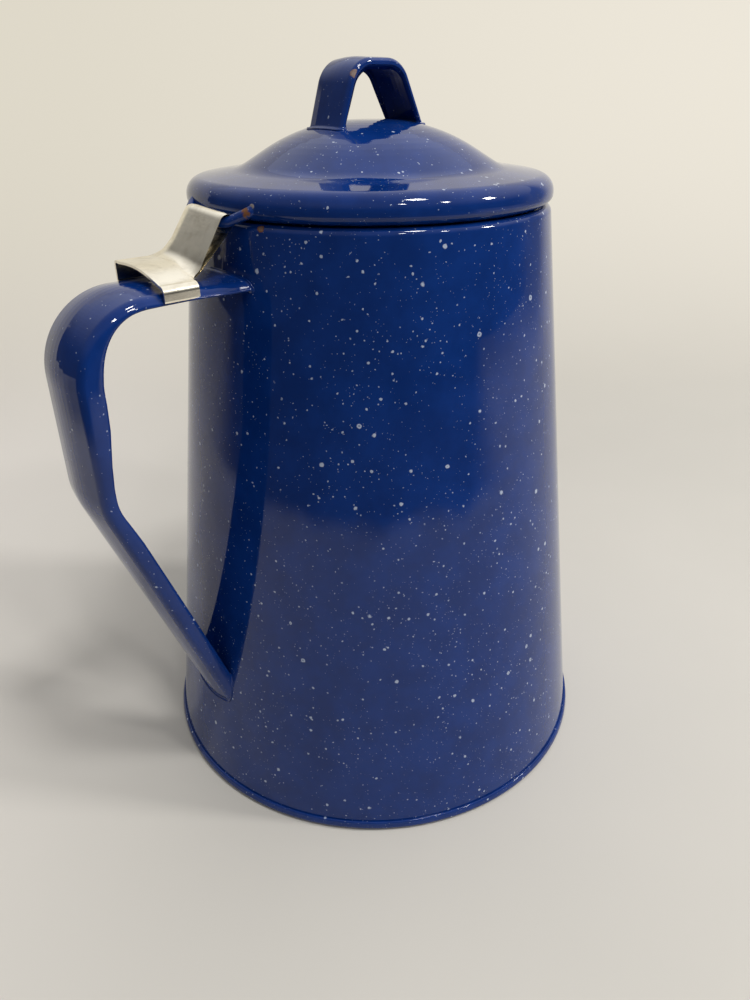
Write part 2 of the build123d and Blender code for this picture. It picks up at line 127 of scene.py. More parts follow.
def rounded(points, bends, turn=9.0):
    """A run of straight lines with its inner corners bent to the given radii, in steps of at
    most turn degrees."""
    points = [np.array(p, float) for p in points]
    line = [points[0]]
    for before, corner, after, bend in zip(points, points[1:], points[2:], bends):
        into = (corner - before) / np.linalg.norm(corner - before)
        away = (after - corner) / np.linalg.norm(after - corner)
        angle = acos(min(1, max(-1, into @ away)))
        reach = bend * tan(angle / 2)
        side = 1 if into[0] * away[1] - into[1] * away[0] > 0 else -1
        start = corner - into * reach
        centre = start + bend * side * np.array([-into[1], into[0]])
        steps = max(2, ceil(degrees(angle) / turn))
        for step in range(steps + 1):
            line.append(centre + rotated(start - centre, side * angle * step / steps))
    line.append(points[-1])
    return graded(line)


def graded(line):
    """The same line with a few points added near both ends of each long straight run."""
    out = [line[0]]
    for start, end in zip(line, line[1:]):
        length = np.linalg.norm(end - start)
        near = [d for d in (0.3, 1.0, 3.0, 9.0) if d < length / 2.2]
        for d in near + [length - d for d in reversed(near)]:
            out.append(start + (end - start) * d / length)
        out.append(end)
    return [p for i, p in enumerate(out) if i == 0 or np.linalg.norm(p - out[i - 1]) > 1e-6]


def run_lengths(line):
    """How far along a line each of its points lies."""
    steps = np.linalg.norm(np.diff(line, axis=0), axis=1)
    return np.concatenate([[0], np.cumsum(steps)])


def side_normals(line):
    """Unit normals on the left of a line at each of its points."""
    line = np.array(line, float)
    steps = np.diff(line, axis=0)
    steps /= np.linalg.norm(steps, axis=1)[:, None]
    way = np.concatenate([steps[:1], steps[:-1] + steps[1:], steps[-1:]])
    way /= np.linalg.norm(way, axis=1)[:, None]
    return np.stack([-way[:, 1], way[:, 0]], axis=1)


def outline_normals(outline):
    """Outward unit normals of a closed outline at each of its points."""
    way = np.roll(outline, -1, axis=0) - np.roll(outline, 1, axis=0)
    way /= np.linalg.norm(way, axis=1)[:, None]
    normals = np.stack([way[:, 1], -way[:, 0]], axis=1)
    x, y = outline[:, 0], outline[:, 1]
    area = (x * np.roll(y, -1) - np.roll(x, -1) * y).sum()
    return normals if area > 0 else -normals


def thick(line, thickness, start_round=True, steps=6):
    """Outline of a sheet about its middle line, with round edges at its ends."""
    line = np.array(line, float)
    left = side_normals(line) * thickness / 2
    outline = list(line + left)

    def edge(point, arm):
        for step in range(1, steps):
            outline.append(point + rotated(arm, -pi * step / steps))

    edge(line[-1], left[-1])
    outline += list((line - left)[::-1])
    if start_round:
        edge(line[0], -left[0])
    return np.array(outline)


# ---------------------------------------------------------------- meshes

CUT_SHARP = 35  # degrees from which a pierced piece has sharp edges


def piece(name, points, faces, material, body, *nodes, slot="enamel", sharp=None):
    """A mesh in millimetres as a smooth piece that rides on a body and replaces CAD nodes."""
    mesh = bpy.data.meshes.new(name)
    mesh.from_pydata([tuple(float(c) * MM for c in p) for p in points], [], faces)
    work = bmesh.new()
    work.from_mesh(mesh)
    bmesh.ops.remove_doubles(work, verts=work.verts, dist=1e-7)
    bmesh.ops.recalc_face_normals(work, faces=work.faces)
    work.to_mesh(mesh)
    work.free()
    mesh.shade_smooth()
    if sharp:
        mesh.set_sharp_from_angle(angle=radians(sharp))
    made = bpy.data.objects.new(name, mesh)
    made.data.materials.append(material)
    bpy.context.scene.collection.objects.link(made)
    if body:
        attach(made, body)
        if nodes:
            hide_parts(*nodes)
    return made


def lathe_mesh(outline, segments=224, closed=True):
    """Points and faces of an outline in (radius, height) turned about the axis."""
    points, rings = [], []
    for radius, height in outline:
        if radius < 1e-6:
            rings.append([len(points)] * segments)
            points.append((0, 0, height))
            continue
        rings.append([len(points) + i for i in range(segments)])
        points += [(x, y, height) for x, y in circle(radius, segments)]
    faces = []
    for one, two in zip(rings, rings[1:] + rings[:1] if closed else rings[1:]):
        for i in range(segments):
            j = (i + 1) % segments
            face = []
            for corner in (one[i], one[j], two[j], two[i]):
                if corner not in face:
                    face.append(corner)
            if len(face) > 2:
                faces.append(face)
    return points, faces


def grid_faces(rows, columns, close_rows=False, close_columns=True, caps=True):
    """Faces of a grid of points, row by row, with its open ends capped."""
    faces = []
    for i in range(rows if close_rows else rows - 1):
        for j in range(columns if close_columns else columns - 1):
            a, b = i * columns + j, i * columns + (j + 1) % columns
            c, d = (i + 1) % rows * columns + (j + 1) % columns, (i + 1) % rows * columns + j
            faces.append((a, b, c, d))
    if caps and not close_rows:
        faces.append(tuple(range(columns))[::-1])
        faces.append(tuple((rows - 1) * columns + j for j in range(columns)))
    return faces


def tube(line, radii, sides=20):
    """Points and faces of a round bar along points in space."""
    line = np.array(line, float)
    way = np.gradient(line, axis=0)
    way /= np.linalg.norm(way, axis=1)[:, None]
    side = np.cross(way[0], (0, 0, 1.0))
    rows = []
    for point, along, radius in zip(line, way, radii):
        side = side - along * (side @ along)
        side /= np.linalg.norm(side)
        up = np.cross(along, side)
        rows.append([point + side * u + up * v for u, v in circle(radius, sides)])
    return np.concatenate(rows), grid_faces(len(rows), sides)


def pierce(target, places, radius, start, length, along="Z", sides=20):
    """Round holes through a piece, at places across the axis that they run along."""
    points, faces = [], []
    ring = range(sides)
    for u, v in places:
        first = len(points)
        for end in (start, start + length):
            for x, y in circle(radius, sides):
                a, b = u + x, v + y
                points.append((a, b, end) if along == "Z" else (end, a, b))
        faces.append([first + i for i in ring][::-1])
        faces.append([first + sides + i for i in ring])
        for i in ring:
            j = (i + 1) % sides
            faces.append((first + i, first + j, first + sides + j, first + sides + i))
    carve(target, piece(target.name + "_cutter", points, faces, target.data.materials[0], None))


def carve(target, cutter):
    """Take a closed mesh out of a piece for good."""
    change = target.modifiers.new("cut", "BOOLEAN")
    change.object, change.operation, change.solver = cutter, "DIFFERENCE", "EXACT"
    shown = target.evaluated_get(bpy.context.evaluated_depsgraph_get())
    target.data = bpy.data.meshes.new_from_object(shown)
    target.modifiers.remove(change)
    target.data.shade_smooth()
    target.data.set_sharp_from_angle(angle=radians(CUT_SHARP))
    bpy.data.objects.remove(cutter)


def hole_rings(first, last, pitch):
    """Places of rings of holes about the axis, about one pitch apart both ways."""
    places = []
    for ring in range(int((last - first) / pitch) + 1):
        radius = first + ring * pitch
        places += circle(radius, int(tau * radius / pitch))
    return places


# ---------------------------------------------------------------- materials


class Graph:
    """A node tree with short ways to add its nodes."""

    def __init__(self, tree):
        self.tree = tree

    def node(self, kind, inputs, **settings):
        made = self.tree.nodes.new("ShaderNode" + kind)
        for key, value in settings.items():
            setattr(made, key, value)
        for key, value in inputs.items():
            self.set(made.inputs[key], value)
        return made

    def set(self, socket, value):
        if isinstance(value, bpy.types.NodeSocket):
            self.tree.links.new(value, socket)
        else:
            socket.default_value = value

    def math(self, operation, a, b=0.0, c=0.0):
        return self.node("Math", {0: a, 1: b, 2: c}, operation=operation).outputs[0]

    def vector(self, operation, a, b=(0, 0, 0), c=(0, 0, 0)):
        return self.node("VectorMath", {0: a, 1: b, 2: c}, operation=operation).outputs[0]

    def measure(self, operation, a, b):
        """A number that two vectors give, such as their distance."""
        return self.node("VectorMath", {0: a, 1: b}, operation=operation).outputs["Value"]

    def ramp(self, value, start, end, to_start=0.0, to_end=1.0):
        """Smooth change from to_start to to_end as value goes from start to end."""
        inputs = {"Value": value, "From Min": start, "From Max": end}
        inputs |= {"To Min": to_start, "To Max": to_end}
        return self.node("MapRange", inputs, interpolation_type="SMOOTHSTEP").outputs["Result"]

    def mix(self, factor, a, b):
        return self.node("Mix", {0: factor, 6: a, 7: b}, data_type="RGBA").outputs[2]

    def noise(self, vector, scale, detail=2.0, rough=0.5, output="Fac"):
        """Noise whose scale counts its lumps per metre."""
        inputs = {"Vector": vector, "Scale": scale, "Detail": detail, "Roughness": rough}
        return self.node("TexNoise", inputs).outputs[output]

    def bump(self, height, distance, normal=None):
        inputs = {"Height": height, "Distance": distance, "Strength": 1.0}
        if normal:
            inputs["Normal"] = normal
        return self.node("Bump", inputs).outputs["Normal"]


class Shader(Graph):
    """A new material, whose surface's inputs can be given by name."""

    def __init__(self, name, **inputs):
        self.material = bpy.data.materials.new(name)
        self.material.use_nodes = True
        super().__init__(self.material.node_tree)
        self.surface = self.tree.nodes["Principled BSDF"]
        self.finish(**inputs)

    def place(self):
        return self.node("TexCoord", {}).outputs["Object"]

    def finish(self, **inputs):
        for key, value in inputs.items():
            self.set(self.surface.inputs[key.replace("_", " ")], value)
        return self.material


COBALT = (0.0020, 0.0235, 0.150, 1), (0.0034, 0.032, 0.195, 1)
MILK = (0.36, 0.44, 0.62, 1), (0.62, 0.68, 0.80, 1)
GREY_GROUND = (0.45, 0.47, 0.52, 1)
RUST = (0.16, 0.06, 0.02, 1)
BARE_STEEL = (0.42, 0.40, 0.40, 1), (0.12, 0.045, 0.02, 1)
PLATED_STEEL = (0.95, 0.90, 0.775, 1), (0.76, 0.70, 0.575, 1)
SATIN_ALUMINIUM = (0.80, 0.81, 0.82, 1), (0.66, 0.665, 0.67, 1)

SPECKLES = (  # cell, radius, share kept, strength; in millimetres
    (6.4, 0.72, 1.00, 0.85),
    (3.3, 0.43, 1.15, 0.75),
    (1.8, 0.24, 1.20, 0.62),
    (1.0, 0.13, 1.10, 0.50),
)
SPECKLE_SHIFT = (0.013, 0.029, 0.017)  # metres from the cells of one size to those of the next


def speckles(shade, place, amount, grain):
    """Mask of pale dots of several sizes, each kept or dropped by chance, with crowded and
    sparse areas. Their outlines wobble a little."""
    wobble = shade.noise(place, 1300, 1, output="Color")
    wobble = shade.vector("SUBTRACT", wobble, (0.5,) * 3)
    bent = shade.vector("MULTIPLY_ADD", wobble, (0.5 * MM,) * 3, place)
    crowd = shade.ramp(shade.noise(place, 48), 0.28, 0.62, 0.35, 1.15)
    dots = None
    for layer, (cell, radius, share, strength) in enumerate(SPECKLES):
        radius *= grain
        moved = shade.vector("ADD", bent, [shift * layer for shift in SPECKLE_SHIFT])
        inputs = {"Vector": moved, "Scale": 1 / (cell * MM), "Randomness": 1.0}
        cells = shade.node("TexVoronoi", inputs, voronoi_dimensions="3D", feature="F1").outputs
        chance = shade.node("SeparateColor", {"Color": cells["Color"]}).outputs
        least, spread = 0.5 * radius / cell, 0.55 * radius / cell
        reach = shade.math("MULTIPLY_ADD", chance["Green"], spread, least)
        inside = shade.math("DIVIDE", cells["Distance"], reach)
        kept = shade.math("MULTIPLY", crowd, share * amount)
        kept = shade.math("LESS_THAN", chance["Red"], kept)
        dot = shade.math("MULTIPLY", shade.ramp(inside, 1.1, 0.7), kept)
        if layer == 0:  # some large dots are rings with a blue middle
            ring = shade.math("GREATER_THAN", chance["Blue"], 0.6)
            hollow = shade.math("MULTIPLY", shade.ramp(inside, 0.55, 0.25), ring)
            dot = shade.math("MULTIPLY", dot, shade.math("MULTIPLY_ADD", hollow, -0.6, 1.0))
        dot = shade.math("MULTIPLY", dot, strength)
        dots = shade.math("MAXIMUM", dots, dot) if dots else dot
    return dots


def enamel(name, amount=1.0, chips=(), wave=0.05, grain=1.0):
    """Glossy cobalt enamel with a slow ripple of a height wave, and pale speckles whose number
    and size are times amount and grain. A chip is a place, a radius and a rusty share."""
    shade = Shader(name, IOR=1.42)
    place = shade.place()
    tone = shade.noise(place, 90, 3, 0.6)
    dots = speckles(shade, place, amount, grain)
    colour = shade.mix(shade.ramp(tone, 0.3, 0.7), *COBALT)
    colour = shade.mix(dots, colour, shade.mix(tone, *MILK))
    rough = shade.ramp(shade.noise(place, 30, 4, 0.6), 0.35, 0.75, 0.03, 0.07)
    stretch = shade.vector("MULTIPLY", place, (1, 1, 0.22))
    normal = shade.bump(shade.noise(stretch, 42, 1), wave * MM)
    normal = shade.bump(shade.noise(place, 260), 0.003 * MM, normal)
    normal = shade.bump(dots, 0.02 * MM, normal)
    for where, radius, rust in chips:
        radius *= MM
        gap = shade.measure("DISTANCE", place, Vector(where) * MM)
        ragged = shade.math("MULTIPLY_ADD", shade.noise(place, 900, 3), 0.9 * radius, gap)
        bare = shade.ramp(ragged, 1.25 * radius, 1.05 * radius)
        heart = shade.ramp(ragged, radius, 0.8 * radius, 0.0, 1 - 0.7 * rust)
        colour = shade.mix(bare, colour, shade.mix(rust, GREY_GROUND, RUST))
        colour = shade.mix(heart, colour, shade.mix(shade.noise(place, 1500, 3), *BARE_STEEL))
        rough = shade.math("MAXIMUM", rough, shade.math("MULTIPLY", bare, 0.55))
    return shade.finish(Base_Color=colour, Roughness=rough, Normal=normal)


def spring_steel(name):
    """Plated spring steel, satin, with faint long scratches and a few stains."""
    shade = Shader(name, Metallic=1.0)
    place = shade.place()
    streaks = shade.noise(shade.vector("MULTIPLY", place, (1, 0.05, 1)), 1500)
    stain = shade.noise(place, 170, 4, 0.62)
    colour = shade.mix(shade.ramp(stain, 0.42, 0.75), *PLATED_STEEL)
    rough = shade.ramp(streaks, 0.25, 0.8, 0.17, 0.25)
    dents = shade.bump(shade.noise(place, 90, 1), 0.02 * MM)
    return shade.finish(Base_Color=colour, Roughness=rough, Normal=dents)


def spun_aluminium(name):
    """Satin aluminium with the fine rings that spinning leaves."""
    shade = Shader(name, Metallic=1.0)
    place = shade.place()
    split = shade.node("SeparateXYZ", {0: place}).outputs
    squares = [shade.math("POWER", split[i], 2.0) for i in (0, 1)]
    radius = shade.math("SQRT", shade.math("ADD", *squares))
    rings = shade.node("CombineXYZ", {0: radius, 2: split[2]}).outputs[0]
    marks = shade.bump(shade.noise(rings, 1500, 3, 0.6), 0.01 * MM)
    cloud = shade.noise(place, 70, 4, 0.6)
    colour = shade.mix(cloud, *SATIN_ALUMINIUM)
    rough = shade.ramp(cloud, 0.3, 0.7, 0.26, 0.42)
    return shade.finish(Base_Color=colour, Roughness=rough, Normal=marks)


POT_ENAMEL = enamel("pot_enamel", chips=[((-47.2, -15.4, 170.1), 1.4, 1.0)])
HANDLE_ENAMEL = enamel("handle_enamel", amount=0.45, wave=0.02)
LID_ENAMEL = enamel(
    "lid_enamel", amount=1.4, chips=[((-48.2, -13.9, 174.9), 0.9, 0.4)], wave=0.012, grain=0.8
)
KNOB_ENAMEL = enamel(
    "knob_enamel", amount=1.2, chips=[((-11.0, -6.9, 202.2), 1.7, 0.8)], wave=0.01, grain=0.8
)
WIRE_ENAMEL = enamel(
    "wire_enamel", amount=0.5, chips=[((-48.8, -12.6, 173.4), 1.7, 1.0)], wave=0.01
)
CLIP_STEEL = spring_steel("clip_steel")
ALUMINIUM = spun_aluminium("spun_aluminium")

# ---------------------------------------------------------------- pot

RIM_CURL, RIM_EDGE = 3.0, 2.5  # how far in and down the curled rim reaches
BEAD_HEIGHT = 3.0
FLOOR_GAP = 3.45  # from the wall's foot in to the recessed floor
STRAINER_RADIUS, STRAINER_PITCH = 1.5, 6.0
STRAINER_TOP, STRAINER_ROWS = 150.0, 5

half = ENAMEL_SHEET / 2
rim_inner = RIM_RADIUS - half - RIM_CURL
wall_line = rounded(
    [
        (wall_radius(WALL_FOOT) - half, WALL_FOOT),
        (RIM_RADIUS - half, POT_HEIGHT - half),
        (rim_inner, POT_HEIGHT - half),
        (rim_inner, POT_HEIGHT - RIM_EDGE),
    ],
    [1.4, 1.4],
)
wall_mesh = lathe_mesh(thick(wall_line, ENAMEL_SHEET))
pot_wall = piece("pot_wall", *wall_mesh, POT_ENAMEL, "pot", "body_shell")

# Strainer behind the spout: rows of holes, one fewer in each lower row
strainer = [
    ((hole - (STRAINER_ROWS - 1 - row) / 2) * STRAINER_PITCH, STRAINER_TOP - STRAINER_PITCH * row)
    for row in range(STRAINER_ROWS)
    for hole in range(STRAINER_ROWS - row)
]
pierce(pot_wall, strainer, STRAINER_RADIUS, start=40, length=25, along="X")

# Bottom: a recessed floor whose edge turns up around the foot of the wall as a thin bead
bead = SEAM_FIT + half
bead_line = rounded(
    [
        (0, FLOOR_TOP - half),
        (wall_radius(0) - FLOOR_GAP, FLOOR_TOP - half),
        (wall_radius(0) - FLOOR_GAP, half),
        (wall_radius(half) + bead, half),
        (wall_radius(BEAD_HEIGHT) + bead - 0.25, BEAD_HEIGHT - 0.4),
    ],
    [1.2, 1.0, 1.0],
)
bead_outline = thick(bead_line, ENAMEL_SHEET, start_round=False)
piece("foot_bead", *lathe_mesh(bead_outline, closed=False), POT_ENAMEL, "pot", "base_plate")

# ---------------------------------------------------------------- straps

FARTHEST_SURFACE = 30.0  # how far a strap's end may run on
FLARE_STEPS = 12
FLARE_SINK = 0.6  # how deep a flare's end lies below the surface


def strap_section(half_width, depth, crown, corner, thickness):
    """Closed outline (across, outwards) of a channel with a gently crowned back."""
    side = half_width - thickness / 2
    slope = atan2(crown, side)
    bend = 0.55 * side / tan(slope)
    apex = bend * (1 / cos(slope) - 1) - thickness / 2
    edge = thickness / 2 - depth
    line = rounded(
        [(side, edge), (side, apex - crown), (0, apex), (-side, apex - crown), (-side, edge)],
        [corner, bend, corner],
        turn=3.0,
    )
    return thick(line, thickness)


def strap(path, section, clearance, flare, width=lambda share: 1.0, deepen=lambda share: 0.0):
    """Points and faces of a section swept along a path in (x, z), whose straight ends run on
    until they meet a surface, where clearance(point) is 0, and flare there like poured glass.
    Along the way the section keeps a share of its width and its flanges reach deeper or less."""
    path = np.array(path)
    out = side_normals(path)
    spread = outline_normals(section)
    lowest = -section[:, 1].min()
    flange = np.clip((-section[:, 1] - lowest / 2) / (lowest / 2), 0, 1)
    lengths = run_lengths(path)

    def at(row, grow=0.0):
        """The section at a point of the path, grown on all sides."""
        share = lengths[row] / lengths[-1]
        across = section[:, 0] * width(share) + spread[:, 0] * grow
        up = section[:, 1] - flange * deepen(share) + spread[:, 1] * grow
        base = path[row]
        return np.stack([base[0] + out[row][0] * up, across, base[1] + out[row][1] * up], axis=1)

    def reach(point, way):
        """Distance from a point along a way to the surface."""
        near, far = 0.0, FARTHEST_SURFACE
        for _ in range(40):
            middle = (near + far) / 2
            if clearance(point + way * middle) > 0:
                near = middle
            else:
                far = middle
        return near

    def end_rows(row, inner):
        """Rows from below the surface up to a path's end, each rail cut where it meets it."""
        way = (path[row] - path[inner]) / np.linalg.norm(path[row] - path[inner])
        way = np.array([way[0], 0, way[1]])
        meets = np.array([reach(point, way) for point in at(row)])[:, None]
        rows = [at(row, flare) + (meets + FLARE_SINK) * way]
        for step in range(FLARE_STEPS + 1):
            a = pi / 2 * step / FLARE_STEPS
            rows.append(at(row, flare * (1 - sin(a))) + (meets - flare * (1 - cos(a))) * way)
        return rows

    last = len(path) - 1
    rows = end_rows(0, 1) + [at(row) for row in range(1, last)] + end_rows(last, last - 1)[::-1]
    return np.concatenate(rows), grid_faces(len(rows), len(section))


STRAP_DEPTH = 4.6
STRAP_ROOT = 29.0  # height at which the handle's slant meets the wall
STRAP_KNEE = (-STRAP_BACK, STRAP_TOP - 50.6)
FLANGE_KNOTS = (  # share of the handle's length from its lower end, and how much deeper
    (0.0, 1.2),
    (0.35, 1.1),
    (0.50, 0.1),
    (0.63, 2.0),
    (0.68, 2.0),
    (0.84, -1.0),
    (1.0, -1.5),
)


def off_wall(point):
    """Distance outside the conical wall, along the radius."""
    return hypot(point[0], point[1]) - wall_radius(point[2])


def handle_width(share):
    """The handle narrows towards its lower end and spreads at its upper root."""
    return 0.82 + 0.18 * min(1.0, share / 0.38) + 0.20 * max(0.0, (share - 0.9) / 0.1) ** 1.5


def handle_depth(share):
    """Its flanges are deep along the slant and round the upper bend, and shallow on top."""
    for (start, one), (end, two) in zip(FLANGE_KNOTS, FLANGE_KNOTS[1:]):
        if share <= end:
            part = (share - start) / (end - start)
            return one + (two - one) * part * part * (3 - 2 * part)
    return FLANGE_KNOTS[-1][1]


strap_path = rounded(
    [
        part_way((1.0 - wall_radius(STRAP_ROOT), STRAP_ROOT), STRAP_KNEE, 0.18),
        STRAP_KNEE,
        (-STRAP_BACK, STRAP_TOP),
        (-wall_radius(STRAP_TOP) - 4.0, STRAP_TOP),
    ],
    [22.0, 20.0],
    turn=3.0,
)
handle_section = strap_section(
    STRAP_HALF_WIDTH, STRAP_DEPTH, crown=1.7, corner=2.2, thickness=STRAP_SHEET
)
handle_mesh = strap(
    strap_path, handle_section, off_wall, flare=0.6, width=handle_width, deepen=handle_depth
)
piece("handle", *handle_mesh, HANDLE_ENAMEL, "pot", "handle_strap")

# ---------------------------------------------------------------- lid

LID_GAP = 0.3  # between the pot's rim and the lid
CURL_RADIUS = RIM_RADIUS - 2.0
PLUG_RADIUS = RIM_RADIUS - 5.2
CROWN_RADIUS = 16.5
DOME_RISE = 11.3
BRIM_DROP = 13.4  # from the lid's top to the brim's upper corner
VALLEY_RADIUS = LID_RADIUS - 14.5

land = POT_HEIGHT + LID_GAP + half
crown_slope = atan2(DOME_RISE, VALLEY_RADIUS - CROWN_RADIUS)
lid_line = rounded(
    [
        (0, LID_TOP - half),
        (CROWN_RADIUS, LID_TOP - half),
        (VALLEY_RADIUS, LID_TOP - DOME_RISE - half),
        (LID_RADIUS - half, LID_TOP - BRIM_DROP - half),
        (LID_RADIUS - half, land + 1.1),
        (CURL_RADIUS, land),
        (PLUG_RADIUS, land),
        (PLUG_RADIUS, PLUG_BOTTOM + half),
    ],
    [0.83 * CROWN_RADIUS / tan(crown_slope / 2), 12.0, 4.0, 1.4, 1.5, 1.2],
    turn=3.0,
)
lid_outline = thick(lid_line, ENAMEL_SHEET, start_round=False)
piece("lid", *lathe_mesh(lid_outline, closed=False), LID_ENAMEL, "lid", "lid_shell")

lid_top = np.array(lid_line) + side_normals(lid_line) * half
lid_top = lid_top[: int(np.argmax(lid_top[:, 0])) + 1]


def off_lid(point):
    """Height above the lid's dome."""
    return point[2] - np.interp(hypot(point[0], point[1]), lid_top[:, 0], lid_top[:, 1])


# Knob: a strap loop across the lid, whose legs splay. Each leg runs on down to the dome.
KNOB_DEPTH = 1.9
KNOB_FEET = (-16.7, LID_TOP - 4.0), (15.7, LID_TOP - 4.0)
KNOB_SHOULDERS = (-10.8, KNOB_TOP), (6.3, KNOB_TOP)

knob_path = rounded(
    [
        part_way(KNOB_FEET[0], KNOB_SHOULDERS[0], 0.27),
        *KNOB_SHOULDERS,
        part_way(KNOB_FEET[1], KNOB_SHOULDERS[1], 0.25),
    ],
    [8.5, 8.0],
    turn=3.0,
)
knob_section = strap_section(
    KNOB_HALF_WIDTH, KNOB_DEPTH, crown=0.6, corner=0.8, thickness=KNOB_SHEET
)
knob_mesh = strap(
    knob_path, knob_section, off_lid, flare=0.8, deepen=lambda share: 0.8 * sin(pi * share)
)
piece("knob", *knob_mesh, KNOB_ENAMEL, "lid", "lid_knob")

# Hinge wire: a staple whose legs rise into the brim and swell there under the enamel. Its
# rail has the way along the legs and y.
leg = np.array([5.6, 3.0]) / hypot(5.6, 3.0)
wire_rail = rounded(
    [(9.5, -13.4), (5.0, -12.9), (0, -8.6), (0, 8.6), (5.0, 12.9), (9.5, 13.4)],
    [2.5, 3.0, 3.0, 2.5],
    turn=4.0,
)
wire_line = [(HINGE[0] + leg[0] * s, y, HINGE[1] + leg[1] * s) for s, y in wire_rail]
wire_radii = [WIRE_RADIUS + 0.05 * max(0.0, s - 2.5) for s, _ in wire_rail]
piece("hinge_bar", *tube(wire_line, wire_radii), WIRE_ENAMEL, "lid", "hinge_wire")

# ---------------------------------------------------------------- hinge clip

CLAMP_LENGTH = 9.0
CLAMP_TOP = STRAP_TOP + 1.9
CLAMP_CROWN = 1.8
CLIP_TILT = radians(7.2)
ROLL_RADIUS = WIRE_RADIUS + 0.4 + CLIP_SHEET / 2
TONGUE_HALF_WIDTH = 5.5
TONGUE_FAN = 5.6  # how much wider the tongue's root may get on each side
NEAR_CORNER, FAR_CORNER = 1.6, 7.5  # rounding of the tongue's root on its two sides
TONGUE_START, TAIL_START = 2.2, 1.2  # from the clamp's inner end to their bends
TAIL_HEIGHT = STRAP_TOP + 0.35
TAIL_REACH = 5.0  # how far the tail runs under the clamp
LEVELLED = 0.6  # share of the tilt that the tongue has lost at the roll
CROWN_FADE = 5.0  # length in which the clamp's crown runs out on the tongue
FAR_HOOK = 1.6  # how far the far flange turns in
NEAR_SHORTER = 2.0  # how much shorter the near flange is

clamp_inner = CLAMP_OUTER_END + CLAMP_LENGTH


def touching(start, side):
    """Angle of the line from start that touches the roll about the hinge."""
    across, up = HINGE[0] - start[0], HINGE[1] - start[1]
    return atan2(up, across) + side * asin(ROLL_RADIUS / hypot(across, up))


def clamp_crown(y):
    """How far the clamp's back lies below its ridge, at a distance from its middle."""
    return CLAMP_CROWN * (abs(y) / CLAMP_HALF_WIDTH) ** 1.8


def tipped(point, share=1.0):
    """The clip sits cocked on the handle: its far side stands a little off the strap."""
    x, y, z = point
    lean = (z - STRAP_TOP) * tan(CLIP_TILT)
    return (x, y - max(0.0, lean), z + share * (y + CLAMP_HALF_WIDTH) * tan(CLIP_TILT))


def clip_piece(name, rows, *nodes):
    """A bent strip of spring steel from its rows of points."""
    mesh = np.concatenate(rows), grid_faces(len(rows), len(rows[0]))
    piece(name, *mesh, CLIP_STEEL, "pot", *nodes, slot="clip_steel", sharp=40)


# Middle line of the tongue, the roll about the wire and the tail, in (x, z)
tongue_foot = (clamp_inner + TONGUE_START, CLAMP_TOP - CLIP_SHEET / 2)
tail_foot = (clamp_inner + TAIL_START, TAIL_HEIGHT)
roll_start, roll_end = touching(tongue_foot, 1) + pi / 2, touching(tail_foot, -1) - pi / 2
roll = [
    np.array([HINGE[0] + ROLL_RADIUS * cos(a), HINGE[1] + ROLL_RADIUS * sin(a)])
    for a in np.linspace(roll_start, roll_end, 22)
]
tongue = rounded([(clamp_inner, CLAMP_TOP - CLIP_SHEET / 2), tongue_foot, roll[0]], [3.5], turn=5.0)
tail = rounded([roll[-1], tail_foot, (clamp_inner - TAIL_REACH, TAIL_HEIGHT)], [5.0], turn=5.0)
strip = np.array(tongue[:-1] + roll + tail[1:])
strip_length = run_lengths(strip)
tongue_length = strip_length[len(tongue) - 1]
strip_section = thick([(y, 0.0) for y in np.linspace(-1, 1, 15)], 1.0, steps=4)

rows = []
for centre, out, run in zip(strip, side_normals(strip), strip_length):
    cocked = 1 - LEVELLED * min(1.0, run / tongue_length)
    row = []
    for y, v in strip_section:
        corner = FAR_CORNER if y > 0 else NEAR_CORNER
        fan = corner - sqrt(max(0.0, corner**2 - max(0.0, corner - run) ** 2))
        across = y * (TONGUE_HALF_WIDTH + min(fan, TONGUE_FAN))
        x, z = centre + out * v * CLIP_SHEET
        crown = clamp_crown(across) * max(0.0, 1 - run / CROWN_FADE)
        row.append(tipped((x, across, z - crown), cocked))
    rows.append(row)
clip_piece("clip_tongue", rows)

# Clamp around the strap: a crowned back between two flanges
side = CLAMP_HALF_WIDTH - CLIP_SHEET / 2
crowned = [(y, -CLIP_SHEET / 2 - clamp_crown(y)) for y in np.linspace(side, -side, 25)[2:-2]]
drop = STRAP_TOP - STRAP_DEPTH - CLAMP_TOP
far_flange = [(side - FAR_HOOK, drop), (side, drop), (side, crowned[0][1]), crowned[0]]
near_flange = [crowned[-1], (-side, crowned[-1][1]), (-side, drop + NEAR_SHORTER)]
band_line = rounded(far_flange, [0.5, 1.0])[:-1]
band_line += [np.array(p) for p in crowned] + rounded(near_flange, [1.3])[1:]
band_section = thick(band_line, CLIP_SHEET, steps=4)
rows = []
for share in (0, 0.02, 0.06, 0.3, 0.5, 0.7, 0.94, 0.98, 1):
    x = CLAMP_OUTER_END + CLAMP_LENGTH * share
    rows.append([tipped((x, y, CLAMP_TOP + z)) for y, z in band_section])
clip_piece("clip_clamp", rows, "hinge_clip")

# ---------------------------------------------------------------- spout

SPOUT_ROWS, SPOUT_COLUMNS = 40, 49
SPOUT_SLANT = 5.0  # how much lower the lip is at the wall than at its tip
SPOUT_TOE = 0.06  # share of the height in which the foot comes out of the wall
SPOUT_GROWTH = 0.04  # share of the height from which it widens steadily
# At its very foot, then what the toe adds, and what the steady growth adds
SPOUT_HALF_WIDTH = 2.5, 1.0, 15.5
SPOUT_REACH = -1.0, 3.0, 13.0
SPOUT_NOSE = 1.5, 0.0, 3.5
SPOUT_SINK = 0.7  # how deep its edges lie in the wall
spout_foot = SPOUT_LOW - 3.0


